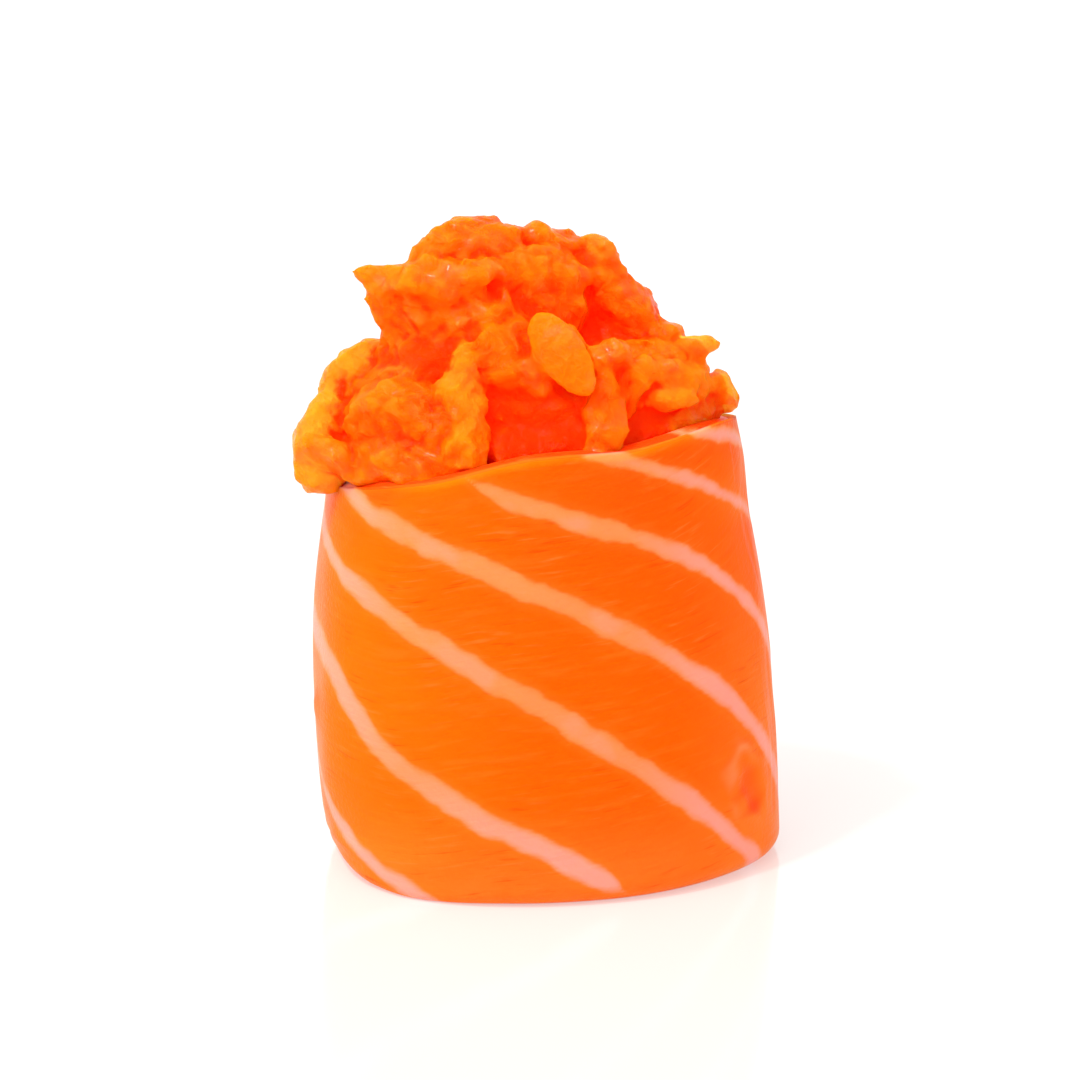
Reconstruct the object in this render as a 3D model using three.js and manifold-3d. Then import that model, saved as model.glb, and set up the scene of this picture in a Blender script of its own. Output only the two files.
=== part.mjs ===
// Gunkan sushi wrapped in a slice of raw salmon, heaped with minced raw salmon.
// Millimetres, Z up, standing on z = 0. X runs along the long side, the front faces -Y.
import * as THREE from 'three';
import * as BufferGeometryUtils from 'three/addons/utils/BufferGeometryUtils.js';
import Module from 'manifold-3d';

// Plan of the wrapped body: a superellipse turned a little to the left.
const HALF_LENGTH = 18.56;
const HALF_WIDTH = 14.0;
const PLAN_POWER = 2.13;
const PLAN_TURN = 0.219;
const BODY_X = 1.71;
const TOP_SCALE = 0.873;
const BELLY = 0.066;
const TOP_SHIFT_X = -2.3;

// Rim: a tilted plane, higher to the right and to the front.
const RIM_HEIGHT = 34.35;
const RIM_RISE_X = 2.74 / 18;
const RIM_RISE_Y = -2.464 / 18;

// The rim swells up a little left of the middle of the front.
const RIM_SWELL = 0.75;
const SWELL_ANGLE = 261 * Math.PI / 180;
const SWELL_REACH = 30 * Math.PI / 180;

// The rim dips at the back of the right end.
const RIM_DIP = 0.6;
const DIP_ANGLE = 42 * Math.PI / 180;
const DIP_REACH = 38 * Math.PI / 180;

// It rises at the front of the right end.
const RIM_LIFT = 0.5;
const LIFT_ANGLE = 325 * Math.PI / 180;
const LIFT_REACH = 40 * Math.PI / 180;

// Fuller shoulder at the right end, under the rim, with a rounder edge.
const SHOULDER = 0.6;
const SHOULDER_ROUND = 0.7;
const SHOULDER_START = 0.76;
const SHOULDER_REACH = 0.18;

// Round foot, wide on the left and tight on the right.
const FOOT_ROUND = 1.6;
const FOOT_CHANGES = [
  { change: 0.6, middle: 312 * Math.PI / 180, reach: 40 * Math.PI / 180 },
  { change: 0.8, middle: 180 * Math.PI / 180, reach: 24 * Math.PI / 180 },
  { change: -0.8, middle: 222 * Math.PI / 180, reach: 28 * Math.PI / 180 },
];

// The slice stands up round the filling as a lip.
const SLICE_THICK = 2.4;
const LIP_DEPTH = 4.0;
const LIP_ROUND = 1.0;
const POCKET_ROUND = 1.4;

// Outer end of the slice, lapped over its own start behind the left end.
const FLAP_ANGLE = 142 * Math.PI / 180;
const FLAP_RAMP = 38 * Math.PI / 180;
const FLAP_DROP = 4 * Math.PI / 180;
const FLAP_THICK = 1.1;

const COLUMNS = 84;
const WALL_ROWS = 7;
const FOOT_STEPS = 4;
const LIP_STEPS = 2;
const INSIDE_STEPS = 1;
const GAP = 0.3;

// An inset past any radius: the point lands on the body's own axis.
const CENTRE = 1000;

// Uneven flow of the minced flesh, long waves and short waves.
const LONG_WAVE = 0.34;
const SHORT_WAVE = 0.14;

// Each morsel of the heap: first end x y z, second end x y z, radius at each end, flatness along Y.
const MORSELS = {
  bed: [-9.4, 0.6, 32.8, 8.2, 3.4, 35.6, 6.2, 6.2, 1.5],
  core_low: [-6.4, 1.5, 36.4, 6.3, 2.8, 38.4, 8.2, 7.6, 0.95],
  core_mid: [-5.5, 1.4, 43.6, 1.7, 2.2, 44.2, 6.2, 4.8, 0.95],
  front_left: [-10.9, -6.0, 38.2, -7.3, -6.8, 37.4, 3.9, 3.7, 0.9],
  foot_left: [-12.1, -8.4, 35.3, -6.8, -10.2, 34.9, 1.8, 1.8, 0.9],
  foot_corner: [-14.6, -6.2, 34.8, -11.6, -7.9, 35.2, 1.9, 2.0, 0.9],
  lobe: [-17.2, -3.6, 37.7, -17.2, -5.1, 33.7, 2.05, 2.25, 0.9],
  lobe_root: [-16.0, -2.6, 35.5, -12.5, -3.5, 37.3, 2.5, 2.8, 0.9],
  shoulder: [-15.5, -1.3, 39.7, -12.9, 0.1, 40.85, 2.05, 2.5, 0.9],
  neck: [-9.2, -2.4, 43.1, -7.4, -2.6, 46.9, 3.5, 3.4, 0.9],
  horn: [-14.0, -2.9, 49.3, -7.3, -3.0, 47.8, 0.6, 3.1, 0.7],
  horn_edge: [-12.7, -3.3, 47.0, -9.1, -2.9, 45.9, 0.7, 2.5, 0.7],
  crown: [-6.6, 1.4, 47.8, 3.6, 2.2, 47.4, 2.9, 2.6, 1.1],
  summit: [-5.9, -0.9, 51.6, -2.7, -0.4, 51.8, 1.7, 1.5, 1.6],
  summit_foot: [-8.3, -1.7, 50.6, -5.2, -1.7, 50.7, 1.8, 1.6, 1.2],
  brow: [-3.4, -2.9, 49.3, 2.2, -1.5, 48.8, 1.9, 1.8, 1.0],
  ridge_top: [-1.5, 1.1, 50.9, 4.7, 1.9, 49.2, 1.8, 1.2, 1.5],
  knob_top: [0.0, -0.1, 51.8, 0.3, -0.1, 51.6, 0.8, 0.8, 1.0],
  knob_right: [5.1, 0.6, 50.7, 5.3, 0.6, 50.2, 1.1, 1.1, 1.0],
  upper_right: [4.3, 2.6, 46.9, 7.0, 2.0, 45.3, 3.0, 2.45, 1.0],
  slope_right: [4.9, 0.0, 48.9, 9.3, 0.3, 43.5, 1.25, 1.5, 1.2],
  slope_foot: [9.6, -0.7, 43.2, 11.2, -1.0, 44.0, 1.1, 0.8, 1.0],
  shelf: [6.4, -3.3, 41.7, 13.4, -1.9, 43.2, 2.0, 0.75, 0.8],
  shelf_tip: [12.7, -1.9, 43.6, 14.4, -2.2, 43.0, 0.72, 0.6, 0.8],
  right_mass: [8.8, -3.5, 40.3, 11.7, -2.2, 40.0, 3.2, 2.2, 1.0],
  right_low: [12.2, -1.3, 38.7, 13.7, -0.2, 38.0, 1.55, 1.1, 1.0],
  knob_end: [15.0, -0.8, 39.7, 15.15, -0.8, 38.2, 1.0, 0.95, 0.9],
  chip_right: [10.1, -5.9, 39.7, 12.7, -5.4, 39.3, 1.2, 0.45, 0.9],
  flake: [1.5, -8.3, 45.05, 3.9, -10.0, 42.05, 2.25, 1.6, 0.45],
  flake_root: [0.6, -5.0, 44.6, 2.3, -7.6, 43.8, 2.0, 1.5, 0.9],
  ridge_right: [6.0, -7.6, 41.5, 4.8, -9.4, 36.4, 1.4, 1.6, 0.9],
  ridge_root: [6.4, -4.4, 40.6, 5.2, -5.4, 37.2, 2.1, 2.0, 0.9],
  hollow_bed: [-3.3, -5.4, 39.4, 3.2, -5.8, 38.3, 2.8, 2.6, 0.9],
  hollow_foot: [-2.6, -7.2, 35.6, 4.4, -7.0, 35.5, 2.7, 2.6, 0.9],
  right_bed: [6.2, -5.2, 36.4, 11.2, -2.9, 37.0, 2.8, 2.4, 0.9],
  left_slope: [-13.2, -3.4, 38.9, -10.2, -4.4, 40.4, 2.4, 2.6, 0.9],
  left_fill: [-9.4, -4.6, 42.4, -7.0, -5.2, 42.7, 2.2, 2.2, 0.9],
  brow_fill: [-2.6, -2.4, 46.4, 1.6, -1.8, 46.2, 2.7, 2.6, 0.9],
  mid_fill: [-4.4, -5.9, 43.1, 0.2, -6.6, 42.2, 2.0, 1.9, 0.9],
  ridge_left: [-5.6, -6.9, 43.4, -5.9, -10.0, 35.2, 1.5, 1.7, 0.9],
  front_mid: [-2.7, -4.7, 43.8, 0.4, -4.8, 42.4, 2.8, 2.8, 0.9],
  ledge: [-9.9, -4.4, 48.6, -4.7, -5.0, 49.7, 1.2, 1.7, 1.0],
  lump_mid: [-3.6, -6.0, 44.4, -2.4, -6.2, 43.9, 1.4, 1.5, 0.9],
  lobe_lump: [-17.5, -6.7, 35.8, -15.6, -7.1, 35.6, 1.0, 0.9, 0.9],
  ridge_lump: [-6.4, -8.6, 41.2, -5.9, -9.3, 40.0, 1.0, 0.9, 0.9],
  ridge_foot: [-5.3, -9.8, 37.4, -5.2, -10.4, 35.6, 1.0, 1.0, 0.9],
  right_fold: [8.2, -5.9, 42.4, 7.4, -6.6, 40.0, 1.2, 1.1, 0.9],
  right_lump: [9.9, -4.4, 42.3, 9.5, -5.1, 40.6, 1.0, 1.0, 0.9],
  under_ledge: [-6.8, -4.4, 46.5, -3.4, -4.9, 46.3, 1.8, 1.7, 0.9],
  right_foot: [11.6, -4.0, 37.2, 12.9, -1.4, 37.6, 1.7, 1.5, 0.9],
  root_lump: [6.6, -6.4, 43.6, 5.2, -7.0, 43.1, 0.9, 0.9, 0.9],
  back_left: [-10.0, 4.8, 38.0, -6.0, 6.4, 40.0, 3.2, 3.2, 0.9],
  back_mid: [-3.0, 7.0, 41.0, 3.0, 6.8, 43.0, 3.0, 2.8, 0.9],
  back_right: [7.5, 5.6, 39.8, 10.8, 3.4, 40.8, 2.8, 2.3, 0.9],
  back_foot: [-4.2, 9.4, 36.0, 2.4, 10.2, 37.0, 1.7, 1.9, 0.9],
  back_high: [-4.8, 4.6, 46.8, 0.6, 5.0, 46.6, 2.2, 2.4, 1.0],
};

// Sides of a morsel: finer on the big ones.
const BIG_RADIUS = 2.5;
const BIG_ACROSS = 11;
const BIG_DOWN = 8;
const SLIM_ACROSS = 8;
const SLIM_DOWN = 6;

// Small chopped bits stuck on the morsels by a seeded rule.
const BIT_TRIES = 64;
const BIT_SEED = 211;
const BIT_SMALLEST = 0.6;
const BIT_RANGE = 0.7;
const BIT_LONGEST = 2.1;
const BIT_TAPER = 0.8;
const BIT_FLATTEST = 0.6;
const BIT_HOST_LEAST = 1.25;
const HOST_FLATTEST = 0.5;
const BIT_SUNK = 0.5;
const BIT_BURIED = 0.85;
const BIT_ACROSS = 6;
const BIT_DOWN = 4;

const LCG_MULTIPLIER = 1664525;
const LCG_STEP = 1013904223;
const LCG_SIZE = 4294967296;

const wasm = await Module();
wasm.setup();

function smooth(t) {
  const k = Math.min(Math.max(t, 0), 1);
  return k * k * (3 - 2 * k);
}

// Thickness added by the lapped end at one angle round the plan.
function flap(angle) {
  const past = (angle - FLAP_ANGLE + 2 * Math.PI) % (2 * Math.PI);
  const rise = smooth(1 - past / FLAP_RAMP);
  const drop = smooth((2 * Math.PI - past) / FLAP_DROP);
  return FLAP_THICK * (past < Math.PI ? rise : 1 - drop);
}

// How near an angle is to the middle of a stretch of the plan: 1 there, easing to 0 at its reach either side.
function near(angle, middle, reach) {
  const away = Math.atan2(Math.sin(angle - middle), Math.cos(angle - middle));
  return smooth(1 - Math.abs(away) / reach);
}

// Radius of the foot and of the lip's outer edge at one angle.
function footRound(angle) {
  return FOOT_CHANGES.reduce((sum, f) => sum + f.change * near(angle, f.middle, f.reach), FOOT_ROUND);
}

function outerRound(angle) {
  return LIP_ROUND + SHOULDER_ROUND * Math.max(Math.cos(angle), 0) ** 2;
}

// Extra reach of the right shoulder at one angle and share of the height.
function fullness(angle, share) {
  return SHOULDER * Math.max(Math.cos(angle), 0) ** 2 * smooth((share - SHOULDER_START) / SHOULDER_REACH);
}

// Point of the outer wall: angle round the plan, share of the height, distance inwards.
function wallPoint(angle, share, lift, inwards) {
  const c = Math.cos(angle);
  const s = Math.sin(angle);
  const scale = 1 + (TOP_SCALE - 1) * share + BELLY * Math.sin(Math.PI * share);
  const x = Math.sign(c) * Math.abs(c) ** (2 / PLAN_POWER) * HALF_LENGTH * scale;
  const y = Math.sign(s) * Math.abs(s) ** (2 / PLAN_POWER) * HALF_WIDTH * scale;
  const px = x * Math.cos(PLAN_TURN) - y * Math.sin(PLAN_TURN);
  const py = x * Math.sin(PLAN_TURN) + y * Math.cos(PLAN_TURN);
  const radius = Math.hypot(px, py);
  const keep = Math.max(radius + flap(angle) + fullness(angle, share) - inwards, 0) / radius;
  const dip = RIM_DIP * near(angle, DIP_ANGLE, DIP_REACH);
  const raised = RIM_LIFT * near(angle, LIFT_ANGLE, LIFT_REACH);
  const bend = RIM_SWELL * near(angle, SWELL_ANGLE, SWELL_REACH) - dip + raised;
  const top = RIM_HEIGHT + (RIM_RISE_X * px + RIM_RISE_Y * py + bend) * keep;
  const shift = BODY_X + TOP_SHIFT_X * share;
  return [px * keep + shift, py * keep, share * top + lift];
}

// A closed body turned about Z: each profile row gives share, lift and inset at an angle.
function turned(rows) {
  const profile = rows.map((row, j) => new THREE.Vector2(j === 0 || j === rows.length - 1 ? 0 : 1, j));
  const geometry = new THREE.LatheGeometry(profile, COLUMNS);
  const position = geometry.getAttribute('position');
  for (let i = 0; i <= COLUMNS; i += 1) {
    const angle = (i % COLUMNS) / COLUMNS * 2 * Math.PI;
    for (let j = 0; j < rows.length; j += 1) {
      const { share, lift, inset } = rows[j](angle);
      const point = wallPoint(angle, share, lift, inset);
      position.setXYZ(i * rows.length + j, point[0], point[1], point[2]);
    }
  }
  return geometry;
}

// A closed geometry as a solid; triangles that a pole has shrunk to a line are dropped.
function solid(geometry) {
  const bare = geometry.clone();
  bare.deleteAttribute('normal');
  bare.deleteAttribute('uv');
  const merged = BufferGeometryUtils.mergeVertices(bare, 1e-4);
  const index = merged.getIndex().array;
  const kept = [];
  for (let i = 0; i < index.length; i += 3) {
    const [a, b, c] = [index[i], index[i + 1], index[i + 2]];
    if (a !== b && b !== c && c !== a) {
      kept.push(a, b, c);
    }
  }
  return new wasm.Manifold(new wasm.Mesh({
    numProp: 3,
    vertProperties: Float32Array.from(merged.getAttribute('position').array),
    triVerts: Uint32Array.from(kept),
  }));
}

function toGeometry(body) {
  const mesh = body.getMesh();
  const geometry = new THREE.BufferGeometry();
  geometry.setAttribute('position', new THREE.BufferAttribute(mesh.vertProperties, 3));
  geometry.setIndex(new THREE.BufferAttribute(mesh.triVerts, 1));
  geometry.computeVertexNormals();
  return geometry;
}

// Quarter turns for a round edge, from 0 to a right angle.
function quarter(steps) {
  return Array.from({ length: steps + 1 }, (_, k) => k / steps * Math.PI / 2);
}

// The wrapped body: flat underside, round foot, bulging wall, lip, shallow pocket for the heap.
function wrapRows() {
  const rows = [() => ({ share: 0, lift: 0, inset: CENTRE })];
  for (const turn of quarter(FOOT_STEPS)) {
    rows.push((angle) => {
      const round = footRound(angle);
      return { share: 0, lift: round * (1 - Math.cos(turn)), inset: round * (1 - Math.sin(turn)) };
    });
  }
  for (let k = 1; k <= WALL_ROWS; k += 1) {
    rows.push(() => ({ share: k / (WALL_ROWS + 1), lift: 0, inset: 0 }));
  }
  for (const turn of quarter(LIP_STEPS)) {
    rows.push((angle) => {
      const round = outerRound(angle);
      return { share: 1, lift: -round * (1 - Math.sin(turn)), inset: round * (1 - Math.cos(turn)) };
    });
  }
  for (const turn of quarter(INSIDE_STEPS)) {
    rows.push((angle) => {
      const round = Math.min(SLICE_THICK - outerRound(angle), LIP_ROUND);
      return { share: 1, lift: -round * (1 - Math.cos(turn)), inset: SLICE_THICK - round * (1 - Math.sin(turn)) };
    });
  }
  for (const turn of quarter(INSIDE_STEPS)) {
    const lift = POCKET_ROUND * (1 - Math.sin(turn)) - LIP_DEPTH;
    rows.push(() => ({ share: 1, lift, inset: SLICE_THICK + POCKET_ROUND * (1 - Math.cos(turn)) }));
  }
  rows.push(() => ({ share: 1, lift: -LIP_DEPTH, inset: CENTRE }));
  return rows;
}

// Space that the heap keeps clear of: the body and its lip, grown by the gap.
function keepClearRows() {
  const rows = [() => ({ share: 0, lift: -GAP, inset: CENTRE })];
  for (let k = 0; k <= WALL_ROWS; k += 1) {
    rows.push(() => ({ share: k / (WALL_ROWS + 1), lift: k === 0 ? -GAP : 0, inset: -GAP }));
  }
  const inside = SLICE_THICK + GAP;
  return [
    ...rows,
    () => ({ share: 1, lift: -LIP_ROUND, inset: -GAP }),
    () => ({ share: 1, lift: GAP, inset: LIP_ROUND - GAP }),
    () => ({ share: 1, lift: GAP, inset: inside - LIP_ROUND }),
    () => ({ share: 1, lift: -LIP_ROUND, inset: inside }),
    () => ({ share: 1, lift: POCKET_ROUND - LIP_DEPTH, inset: inside }),
    () => ({ share: 1, lift: GAP - LIP_DEPTH, inset: inside + POCKET_ROUND }),
    () => ({ share: 1, lift: GAP - LIP_DEPTH, inset: CENTRE }),
  ];
}

// Frame of one morsel from a row of MORSELS: middle, half length, unit axis and its two cross directions.
function frameOf(m) {
  const first = new THREE.Vector3(m[0], m[1], m[2]);
  const second = new THREE.Vector3(m[3], m[4], m[5]);
  const middle = first.clone().add(second).multiplyScalar(0.5);
  const half = second.clone().sub(first).multiplyScalar(0.5);
  const axis = half.clone().normalize();
  const depth = new THREE.Vector3(0, 1, 0).addScaledVector(axis, -axis.y).normalize();
  const side = axis.clone().cross(depth);
  return { middle, half, axis, depth, side, first: m[6], second: m[7], flat: m[8] };
}

// Unit-sphere direction to a point on the morsel: a tapered egg stretched between its ends.
function onMorsel(f, s) {
  const r = (f.first + f.second) / 2 + s.y * (f.second - f.first) / 2;
  return f.middle.clone()
    .addScaledVector(f.half, s.y)
    .addScaledVector(f.side, r * s.x)
    .addScaledVector(f.axis, r * s.y)
    .addScaledVector(f.depth, r * f.flat * s.z);
}

// Whether a point lies well inside a morsel.
function inMorsel(f, point) {
  const from = point.clone().sub(f.middle);
  const along = from.dot(f.axis) / (f.half.length() + (f.first + f.second) / 2);
  const r = (f.first + f.second) / 2 + along * (f.second - f.first) / 2;
  const across = from.dot(f.side) / r;
  const deep = from.dot(f.depth) / (r * f.flat);
  return along * along + across * across + deep * deep < BIT_BURIED;
}

// Shift that makes the flesh uneven at a point.
function uneven(p) {
  return new THREE.Vector3(
    LONG_WAVE * Math.sin(0.9 * p.y + 0.4 * p.z + 1.34) + SHORT_WAVE * Math.sin(2.3 * p.z - 1.7 * p.y + 1.38),
    LONG_WAVE * Math.sin(0.8 * p.z + 0.5 * p.x + 2.78) + SHORT_WAVE * Math.sin(2.1 * p.x + 1.9 * p.z + 1.14),
    LONG_WAVE * Math.sin(0.85 * p.x - 0.6 * p.y + 0.2) + SHORT_WAVE * Math.sin(2.4 * p.y - 1.6 * p.x),
  );
}

function morselGeometry(f, across, down) {
  const geometry = new THREE.SphereGeometry(1, across, down);
  const position = geometry.getAttribute('position');
  for (let i = 0; i < position.count; i += 1) {
    const point = onMorsel(f, new THREE.Vector3().fromBufferAttribute(position, i));
    point.add(uneven(f.flat > HOST_FLATTEST ? point : f.middle));
    position.setXYZ(i, point.x, point.y, point.z);
  }
  return geometry;
}

// Chopped bits: a random morsel, a random place on it, a random lie along its surface.
function bits(hosts) {
  let seed = BIT_SEED;
  const random = () => {
    seed = (seed * LCG_MULTIPLIER + LCG_STEP) % LCG_SIZE;
    return seed / LCG_SIZE;
  };
  const direction = () => {
    const up = 2 * random() - 1;
    const turn = 2 * Math.PI * random();
    const level = Math.sqrt(1 - up * up);
    return new THREE.Vector3(level * Math.cos(turn), up, level * Math.sin(turn));
  };
  const found = [];
  for (let i = 0; i < BIT_TRIES; i += 1) {
    const host = hosts[Math.floor(random() * hosts.length)];
    const place = onMorsel(host, direction());
    const lie = direction();
    const radius = BIT_SMALLEST + BIT_RANGE * random() ** 2;
    const length = BIT_LONGEST * random();
    const flat = BIT_FLATTEST + (1 - BIT_FLATTEST) * random();
    const out = place.clone().sub(host.middle).normalize();
    lie.addScaledVector(out, -lie.dot(out)).normalize().multiplyScalar(length / 2);
    place.addScaledVector(out, -BIT_SUNK * radius);
    const roomy = Math.min(host.first, host.second) >= BIT_HOST_LEAST && host.flat > HOST_FLATTEST;
    const buried = hosts.some((other) => other !== host && inMorsel(other, place));
    if (roomy && !buried) {
      const a = place.clone().sub(lie);
      const b = place.clone().add(lie);
      found.push(frameOf([a.x, a.y, a.z, b.x, b.y, b.z, radius, BIT_TAPER * radius, flat]));
    }
  }
  return found;
}

const wrap = solid(turned(wrapRows()));
const clear = solid(turned(keepClearRows()));

const frames = Object.values(MORSELS).map(frameOf);
const lumps = frames.map((f) => {
  const big = Math.max(f.first, f.second) > BIG_RADIUS;
  return solid(morselGeometry(f, big ? BIG_ACROSS : SLIM_ACROSS, big ? BIG_DOWN : SLIM_DOWN));
});
const chopped = bits(frames).map((f) => solid(morselGeometry(f, BIT_ACROSS, BIT_DOWN)));

// One heap: everything joined, cut clear of the lip, loose scraps dropped.
const pieces = wasm.Manifold.union([...lumps, ...chopped]).subtract(clear).decompose();
const heap = pieces.reduce((best, piece) => (piece.volume() > best.volume() ? piece : best));

function part(name, body, colour) {
  const material = new THREE.MeshStandardMaterial({ name, color: colour, roughness: 0.35 });
  const mesh = new THREE.Mesh(toGeometry(body), material);
  mesh.name = name;
  return mesh;
}

const sushi = new THREE.Group();
sushi.name = 'gunkan_sushi';
sushi.add(part('salmon_wrap', wrap, 0xfb6e24));
sushi.add(part('minced_topping', heap, 0xf9790f));

export default sushi;
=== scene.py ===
import math
from itertools import product
import bpy
import numpy as np
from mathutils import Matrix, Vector


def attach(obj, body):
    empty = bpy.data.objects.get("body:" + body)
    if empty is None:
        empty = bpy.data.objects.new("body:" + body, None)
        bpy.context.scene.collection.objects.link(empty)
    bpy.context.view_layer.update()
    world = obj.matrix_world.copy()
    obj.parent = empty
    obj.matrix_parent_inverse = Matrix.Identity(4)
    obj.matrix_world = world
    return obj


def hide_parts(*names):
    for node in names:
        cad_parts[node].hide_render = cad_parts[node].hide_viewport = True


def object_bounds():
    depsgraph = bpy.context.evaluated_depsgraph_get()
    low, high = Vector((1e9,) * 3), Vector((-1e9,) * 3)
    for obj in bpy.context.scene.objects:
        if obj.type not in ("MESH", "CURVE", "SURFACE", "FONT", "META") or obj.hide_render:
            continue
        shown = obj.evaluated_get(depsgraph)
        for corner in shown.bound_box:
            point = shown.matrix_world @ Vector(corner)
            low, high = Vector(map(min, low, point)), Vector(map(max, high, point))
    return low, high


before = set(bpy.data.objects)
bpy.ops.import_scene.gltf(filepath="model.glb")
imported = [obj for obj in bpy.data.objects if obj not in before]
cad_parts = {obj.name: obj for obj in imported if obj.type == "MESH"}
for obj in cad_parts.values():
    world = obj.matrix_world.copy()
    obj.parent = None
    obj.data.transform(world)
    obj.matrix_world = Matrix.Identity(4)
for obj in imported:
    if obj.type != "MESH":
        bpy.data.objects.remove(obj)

frame_box = [list(corner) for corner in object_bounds()]
MM = 0.001

# Wrap: one thick slice of raw salmon, stood on its edge and rolled round the filling by hand.
# Its outer end is lapped over its start behind the left end, and its upper edge stands up as a lip.
# Sizes are in millimetres. Angles run round the plan: 0 at the right end, 90 degrees at the back, 270 in front.
half_length, half_width, plan_power, plan_turn = 18.56, 14.0, 2.13, 0.219
body_x, top_scale, belly, top_shift = 1.71, 0.873, 0.066, -2.3
rim_height, rim_rise_x, rim_rise_y = 34.35, 2.74 / 18, -2.464 / 18
foot_round = 1.6
foot_changes = [(0.6, math.radians(312), math.radians(40)), (0.8, math.radians(180), math.radians(24)),
                (-0.8, math.radians(222), math.radians(28))]
rim_changes = [(0.75, math.radians(261), math.radians(30)), (-0.6, math.radians(42), math.radians(38)),
               (0.5, math.radians(325), math.radians(40))]
slice_thick, lip_depth, lip_round, pocket_round = 2.4, 4.0, 1.0, 1.4
shoulder, shoulder_start, shoulder_reach, shoulder_round = 0.6, 0.76, 0.18, 0.7
lap_angle, lap_ramp, lap_drop, lap_thick = math.radians(142), math.radians(38), math.radians(4), 1.1
to_the_middle = 1000.0  # an inset larger than the roll, which brings a point to its middle


def smooth(t):
    """Soft step from 0 to 1: t is held between 0 and 1, then 3 t squared less 2 t cubed."""
    t = np.clip(t, 0.0, 1.0)
    return t * t * (3 - 2 * t)


def between(s, start, rise, end, fall):
    """1 between a start and an end: a soft step up over the rise after the start, times one down over the fall
    before the end."""
    return smooth((s - start) / rise) * smooth((end - s) / fall)


def lap(angle):
    """Extra thickness of the lapped end: full at its edge, easing to none over the ramp, and dropping at once
    behind it."""
    past = (angle - lap_angle) % (2 * np.pi)
    rise = smooth(1 - past / lap_ramp)
    drop = smooth((2 * np.pi - past) / lap_drop)
    return lap_thick * np.where(past < np.pi, rise, 1 - drop)


def changed(angle, changes):
    """Sum of changes round the plan: each is full at its middle angle and eases to 0 at its reach either side."""
    return sum(change * smooth(1 - np.abs(np.arctan2(np.sin(angle - middle), np.cos(angle - middle))) / reach)
               for change, middle, reach in changes)


def fullness(angle, share):
    """Extra reach of the right shoulder: greatest at the right end near the rim."""
    return shoulder * np.maximum(np.cos(angle), 0) ** 2 * smooth((share - shoulder_start) / shoulder_reach)


def rolled(angle, share, lift, inset):
    """Point of the roll: a superellipse in plan that tapers and bellies with the share of the height,
    turned a little, moved inwards by the inset, up to a tilted and wavy rim, then lifted."""
    c, s = np.cos(angle), np.sin(angle)
    scale = 1 + (top_scale - 1) * share + belly * np.sin(np.pi * share)
    x = np.sign(c) * np.abs(c) ** (2 / plan_power) * half_length * scale
    y = np.sign(s) * np.abs(s) ** (2 / plan_power) * half_width * scale
    px = x * math.cos(plan_turn) - y * math.sin(plan_turn)
    py = x * math.sin(plan_turn) + y * math.cos(plan_turn)
    radius = np.hypot(px, py)
    keep = np.maximum(radius + lap(angle) + fullness(angle, share) - inset, 0) / radius
    top = rim_height + (rim_rise_x * px + rim_rise_y * py + changed(angle, rim_changes)) * keep
    return np.stack([px * keep + body_x + top_shift * share, py * keep, share * top + lift], axis=-1)


def closed_faces(rows, columns):
    """Faces of a grid whose columns run round and whose first and last rows are each one point: quads,
    and triangles at both poles. Points are numbered pole, rows one by one, pole."""
    ring = np.arange(columns)
    after = (ring + 1) % columns
    first = 1 + np.arange(rows - 3)[:, None] * columns
    quads = np.stack([first + ring, first + after, first + columns + after, first + columns + ring], axis=-1)
    last_ring = 1 + (rows - 3) * columns
    last = last_ring + columns
    bottom = np.stack([np.zeros_like(ring), 1 + after, 1 + ring], axis=-1)
    top = np.stack([last_ring + ring, last_ring + after, np.full_like(ring, last)], axis=-1)
    return bottom, quads.reshape(-1, 4), top


def mesh_object(name, points, faces):
    """A mesh object from an array of points in millimetres and arrays of faces."""
    mesh = bpy.data.meshes.new(name)
    corners = np.concatenate([f.ravel() for f in faces]).astype(np.int32)
    sizes = np.concatenate([np.full(len(f), f.shape[1], dtype=np.int32) for f in faces])
    starts = np.concatenate([[0], np.cumsum(sizes)[:-1]]).astype(np.int32)
    mesh.vertices.add(len(points))
    mesh.vertices.foreach_set("co", (points * MM).astype(np.float32).ravel())
    mesh.loops.add(len(corners))
    mesh.loops.foreach_set("vertex_index", corners)
    mesh.polygons.add(len(sizes))
    mesh.polygons.foreach_set("loop_start", starts)
    mesh.polygons.foreach_set("use_smooth", np.ones(len(sizes), dtype=bool))
    mesh.update(calc_edges=True)
    mesh.validate()
    thing = bpy.data.objects.new(name, mesh)
    bpy.context.scene.collection.objects.link(thing)
    return thing


# Columns round the roll, closer together where the lapped end drops.
columns_round, columns_lap = 440, 14
drop_angle, full_turn = lap_angle + 2 * np.pi - lap_drop, lap_angle + 2 * np.pi
angle = np.concatenate([np.linspace(lap_angle, drop_angle, columns_round, endpoint=False),
                        np.linspace(drop_angle, full_turn, columns_lap, endpoint=False)])
columns = len(angle)

# Along the slice: length round the roll at half height, 0 at the front, cut at the lapped end.
half_height, front_angle = 0.5, 1.5 * np.pi
middle_line = rolled(angle, half_height, 0, 0)[:, :2]
step = np.linalg.norm(np.diff(np.vstack([middle_line, middle_line[:1]]), axis=0), axis=1)
along = np.concatenate([[0], np.cumsum(step)])
along -= np.interp(front_angle, angle, along[:-1])

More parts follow.
